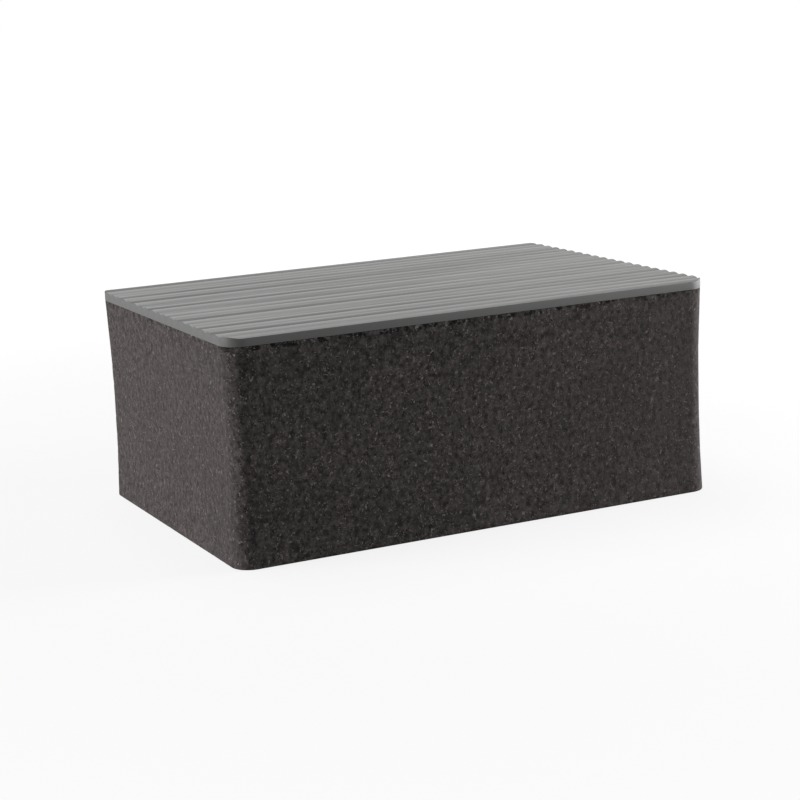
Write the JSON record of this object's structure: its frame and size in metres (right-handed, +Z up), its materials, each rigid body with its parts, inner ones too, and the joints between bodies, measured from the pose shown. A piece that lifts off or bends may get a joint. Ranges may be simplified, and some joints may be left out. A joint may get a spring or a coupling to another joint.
{
  "type": "detailing clay sponge",
  "caption": "Waisted foam hand block with a thin ribbed clay-rubber layer bonded over one large face, for rubbing paintwork clean.",
  "frame": {"origin": "middle of the foam's flat underside, on the surface that the block stands on", "axes": "+X along the length and the ribs, +Y across the ribs, +Z up to the ribbed clay face"},
  "size_m": [0.095, 0.065, 0.04],
  "materials": {
    "foam": "matt charcoal closed-cell foam with a fine open cut grain",
    "clay_rubber": "satin mid-grey polymer clay rubber, moulded with ribs"
  },
  "bodies": {
    "root": {"foam_block": "foam", "clay_layer": "clay_rubber"}
  },
  "joints": []
}
